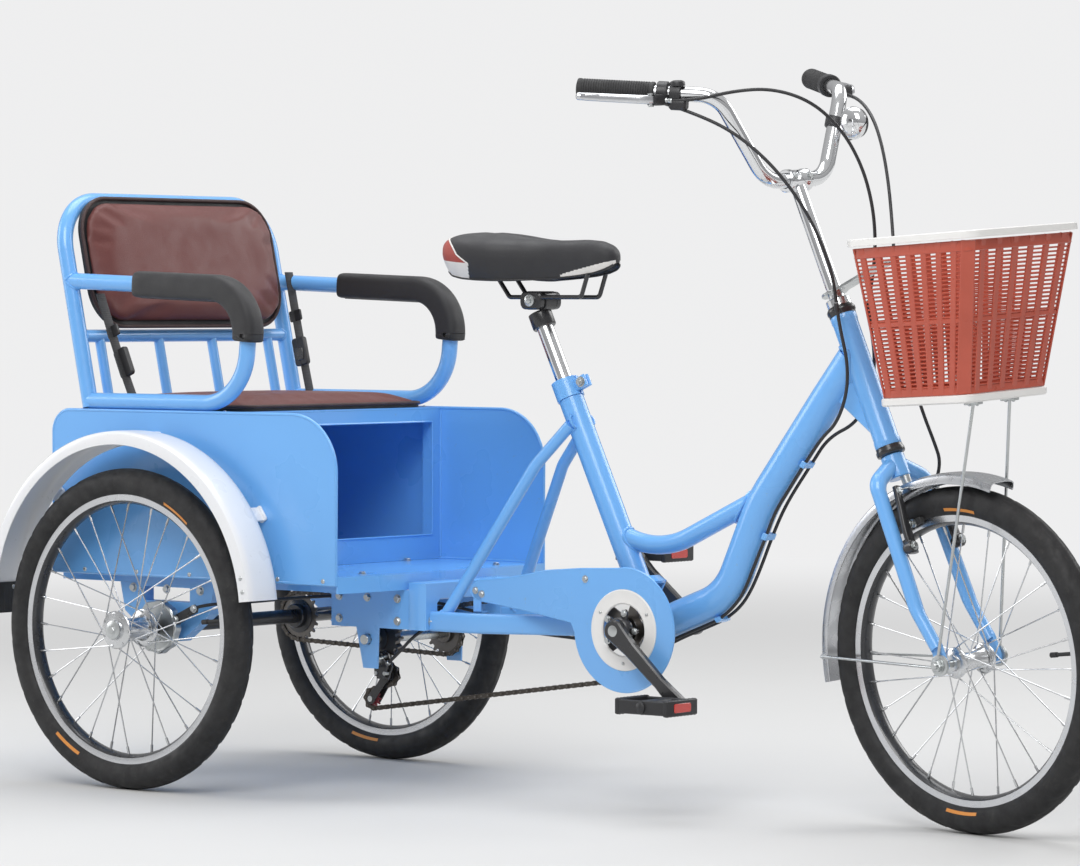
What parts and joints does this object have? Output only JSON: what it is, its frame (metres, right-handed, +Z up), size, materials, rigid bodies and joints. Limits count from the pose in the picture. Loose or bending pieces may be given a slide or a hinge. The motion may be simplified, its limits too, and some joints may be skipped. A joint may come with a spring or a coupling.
{
  "type": "cargo tricycle",
  "caption": "Pedal tricycle with a step-through frame, front basket and a cushioned passenger bench over a storage box between the rear wheels.",
  "frame": {"origin": "middle of the tricycle's length and width, on the ground that the tyres stand on", "axes": "+X forward along the length, +Y to the rider's left across the width, +Z up"},
  "size_m": [1.8412, 0.69, 1.0959],
  "materials": {
    "frame_paint": "satin gloss sky blue paint on steel tube",
    "sheet_paint": "sky blue paint on steel sheet",
    "dark_paint": "black paint on steel",
    "white_paint": "white paint on steel sheet",
    "chrome": "bright chrome plate",
    "alloy": "polished aluminium",
    "zinc": "zinc plated steel",
    "chain_steel": "oiled dark steel",
    "tyre": "black rubber tread",
    "rubber": "matt black rubber",
    "black_plastic": "black moulded plastic",
    "white_plastic": "white moulded plastic",
    "red_plastic": "brick red moulded plastic",
    "seat_leather": "maroon leathercloth",
    "saddle_leather": "black leathercloth",
    "webbing": "black woven webbing",
    "pad_foam": "black foam pad"
  },
  "bodies": {
    "frame": {"head_tube": "frame_paint", "headset_cups": "dark_paint", "main_tube": "frame_paint", "brace_tube": "frame_paint", "seat_tube": "frame_paint", "seat_clamp": "frame_paint", "seat_post": "chrome", "saddle": "saddle_leather", "saddle_mount": "dark_paint", "chain_stays": "frame_paint", "seat_stays": "frame_paint", "cross_member": "frame_paint", "side_panels": "sheet_paint", "back_panel": "sheet_paint", "floor_pan": "sheet_paint", "box_rails": "frame_paint", "seat_box_frame": "frame_paint", "deck": "sheet_paint", "bench_cushion": "seat_leather", "backrest_frame": "frame_paint", "backrest_cushion": "seat_leather", "armrests": "frame_paint", "armrest_pads": "pad_foam", "seat_belts": "webbing", "rear_mudguards": "white_paint", "mudguard_flaps": "rubber", "axle_hangers": "frame_paint", "band_brake": "zinc", "drive_plates": "frame_paint", "jackshaft": "chain_steel", "drive_chain": "chain_steel", "axle_chain": "chain_steel", "derailleur": "dark_paint", "chain_cover": "frame_paint", "cover_ring": "white_plastic", "cables_frame": "black_plastic"},
    "steering": {"fork": "frame_paint", "front_axle": "zinc", "stem": "chrome", "handlebar": "chrome", "grips": "rubber", "brake_levers": "alloy", "bell": "chrome", "basket": "red_plastic", "basket_trim": "white_plastic", "basket_stays": "zinc", "front_mudguard": "alloy", "front_brake": "dark_paint", "cables_steer": "black_plastic"},
    "front_wheel": {"tyre_front": "tyre", "wheel_front": "alloy"},
    "right_wheel": {"tyre_right": "tyre", "wheel_right": "alloy"},
    "left_wheel": {"tyre_left": "tyre", "wheel_left": "alloy", "rear_axle": "dark_paint"},
    "cranks": {"crankset": "dark_paint", "chainring": "chain_steel"},
    "right_pedal": {"pedal_right": "black_plastic"},
    "left_pedal": {"pedal_left": "black_plastic"}
  },
  "joints": [
    {"name": "steering_turn", "type": "hinge", "parent": "frame", "child": "steering", "pos_m": [0.49814, 0, 0.63373], "axis": [-0.3955, 0, 0.9184], "range_deg": [-30.8, 49.2]},
    {"name": "front_wheel_spin", "type": "hinge", "parent": "steering", "child": "front_wheel", "pos_m": [0.67694, -0.00169, 0.24495], "axis": [0.1468, 0.9871, 0.0632], "continuous": true},
    {"name": "right_wheel_spin", "type": "hinge", "parent": "frame", "child": "right_wheel", "pos_m": [-0.64594, -0.307, 0.245], "axis": [0, 1, 0], "continuous": true},
    {"name": "left_wheel_spin", "type": "hinge", "parent": "frame", "child": "left_wheel", "pos_m": [-0.64594, 0.307, 0.245], "axis": [0, 1, 0], "continuous": true},
    {"name": "crank_spin", "type": "hinge", "parent": "frame", "child": "cranks", "pos_m": [0.12506, 0, 0.266], "axis": [0, 1, 0], "continuous": true},
    {"name": "right_pedal_spin", "type": "hinge", "parent": "cranks", "child": "right_pedal", "pos_m": [0.23978, -0.15, 0.16628], "axis": [0, 1, 0], "continuous": true},
    {"name": "left_pedal_spin", "type": "hinge", "parent": "cranks", "child": "left_pedal", "pos_m": [0.01035, 0.15, 0.36572], "axis": [0, 1, 0], "continuous": true}
  ]
}
